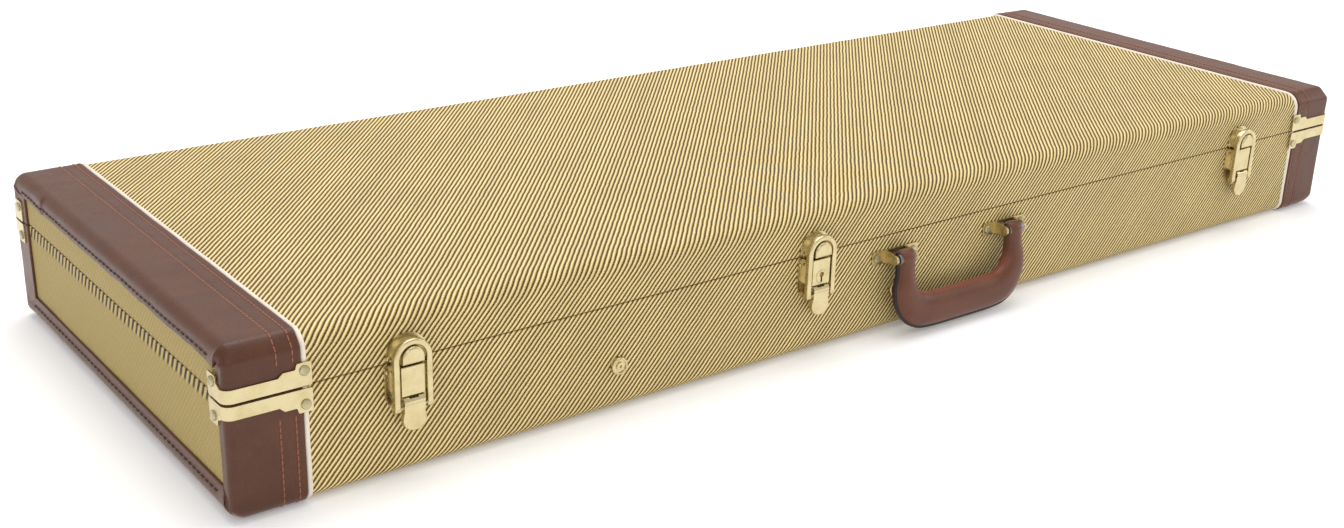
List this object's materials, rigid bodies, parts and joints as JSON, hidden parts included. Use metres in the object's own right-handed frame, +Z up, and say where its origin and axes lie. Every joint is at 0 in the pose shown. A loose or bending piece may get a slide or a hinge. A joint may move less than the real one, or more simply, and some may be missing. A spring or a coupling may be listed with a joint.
{
  "type": "guitar case",
  "caption": "Rectangular hard-shell case for an electric guitar, tweed-covered with leather ends, draw latches, a front carrying handle and a hinged lid.",
  "frame": {"origin": "centre of the case's footprint, on the surface it lies on", "axes": "+X along the length towards the right-hand end seen from the front, -Y out of the front with the latches and handle, +Z up through the lid"},
  "size_m": [1.0444, 0.398, 0.109],
  "materials": {
    "tweed_cloth": "twill-woven tweed cloth, lacquered, straw and brown yarns",
    "end_leather": "semi-gloss brown leather, rust-coloured stitching",
    "white_piping": "satin off-white piping",
    "plywood": "bare plywood",
    "handle_leather": "smooth moulded leather, dark edge",
    "strap_steel": "plain spring steel",
    "brass_plate": "polished brass plating",
    "rivet_metal": "dull brassed steel",
    "nickel": "satin nickel",
    "foot_rubber": "matte black rubber",
    "plush": "short-pile plush",
    "ribbon": "woven ribbon"
  },
  "bodies": {
    "base": {"accessory_box": "plush", "accessory_hinge_pins": "rivet_metal", "base_bracket_rivets": "rivet_metal", "base_corner_brackets": "brass_plate", "base_end_panels": "tweed_cloth", "base_leather_left": "end_leather", "base_leather_right": "end_leather", "base_lining": "plush", "base_lip": "plywood", "base_piping": "white_piping", "base_shell": "plywood", "base_tweed": "tweed_cloth", "front_studs": "brass_plate", "handle_bracket_left": "brass_plate", "handle_bracket_right": "brass_plate", "handle_bracket_rivets": "rivet_metal", "handle_pins": "rivet_metal", "head_pad": "plush", "hinge_base_leaves": "brass_plate", "hinge_base_rivets": "rivet_metal", "hinge_pins": "brass_plate", "latch_pins": "rivet_metal", "latch_plate_centre": "brass_plate", "latch_plate_left": "brass_plate", "latch_plate_right": "brass_plate", "latch_plate_rivets": "brass_plate", "lower_pad": "plush", "neck_rest": "plush", "rear_feet": "foot_rubber", "rear_feet_screws": "nickel", "shoulder_pads": "plush", "side_pads": "plush"},
    "lid": {"hinge_lid_leaves": "brass_plate", "hinge_lid_rivets": "rivet_metal", "keeper_rivets": "brass_plate", "latch_keeper_centre": "brass_plate", "latch_keeper_left": "brass_plate", "latch_keeper_right": "brass_plate", "lid_bracket_rivets": "rivet_metal", "lid_corner_brackets": "brass_plate", "lid_end_panels": "tweed_cloth", "lid_leather_left": "end_leather", "lid_leather_right": "end_leather", "lid_lining": "plush", "lid_pad": "plush", "lid_piping": "white_piping", "lid_shell": "plywood", "lid_tweed": "tweed_cloth"},
    "handle": {"handle_grip": "handle_leather", "handle_core": "strap_steel"},
    "lever_left": {"latch_lever_left": "brass_plate"},
    "loop_left": {"latch_loop_left": "brass_plate"},
    "lever_centre": {"latch_lever_centre": "brass_plate"},
    "loop_centre": {"latch_loop_centre": "brass_plate"},
    "lever_right": {"latch_lever_right": "brass_plate"},
    "loop_right": {"latch_loop_right": "brass_plate"},
    "key_cylinder": {"lock_cylinder": "brass_plate"},
    "compartment_lid": {"accessory_lid": "plush", "accessory_tab": "ribbon"}
  },
  "joints": [
    {"name": "lid_hinge", "type": "hinge", "parent": "base", "child": "lid", "pos_m": [0, 0.1863, 0.0755], "axis": [-1, 0, 0], "range_deg": [0, 100]},
    {"name": "handle_swing", "type": "hinge", "parent": "base", "child": "handle", "pos_m": [0.046, -0.1935, 0.06], "axis": [-1, 0, 0], "range_deg": [-6, 150]},
    {"name": "latch_left", "type": "hinge", "parent": "base", "child": "lever_left", "pos_m": [-0.4074, -0.1895, 0.052], "axis": [-1, 0, 0], "range_deg": [0, 105]},
    {"name": "latch_loop_left_turn", "type": "hinge", "parent": "lever_left", "child": "loop_left", "pos_m": [-0.4074, -0.1895, 0.0483], "axis": [-1, 0, 0], "range_deg": [-135, 0]},
    {"name": "latch_centre", "type": "hinge", "parent": "base", "child": "lever_centre", "pos_m": [-0.089, -0.1895, 0.052], "axis": [-1, 0, 0], "range_deg": [0, 105]},
    {"name": "latch_loop_centre_turn", "type": "hinge", "parent": "lever_centre", "child": "loop_centre", "pos_m": [-0.089, -0.1895, 0.0483], "axis": [-1, 0, 0], "range_deg": [-135, 0]},
    {"name": "latch_right", "type": "hinge", "parent": "base", "child": "lever_right", "pos_m": [0.392, -0.1895, 0.052], "axis": [-1, 0, 0], "range_deg": [0, 105]},
    {"name": "latch_loop_right_turn", "type": "hinge", "parent": "lever_right", "child": "loop_right", "pos_m": [0.392, -0.1895, 0.0483], "axis": [-1, 0, 0], "range_deg": [-135, 0]},
    {"name": "key_turn", "type": "hinge", "parent": "base", "child": "key_cylinder", "pos_m": [-0.089, -0.1885, 0.062], "axis": [0, -1, 0], "range_deg": [0, 90]},
    {"name": "compartment_lid_hinge", "type": "hinge", "parent": "base", "child": "compartment_lid", "pos_m": [-0.13125, -0.074, 0.0584], "axis": [-1, 0, 0], "range_deg": [0, 98]}
  ],
  "couplings": [
    {"joint": "latch_loop_left_turn", "follows": "latch_left", "ratio": -1.25},
    {"joint": "latch_loop_centre_turn", "follows": "latch_centre", "ratio": -1.25},
    {"joint": "latch_loop_right_turn", "follows": "latch_right", "ratio": -1.25},
    {"joint": "compartment_lid_hinge", "follows": "lid_hinge", "ratio": 0.95}
  ]
}
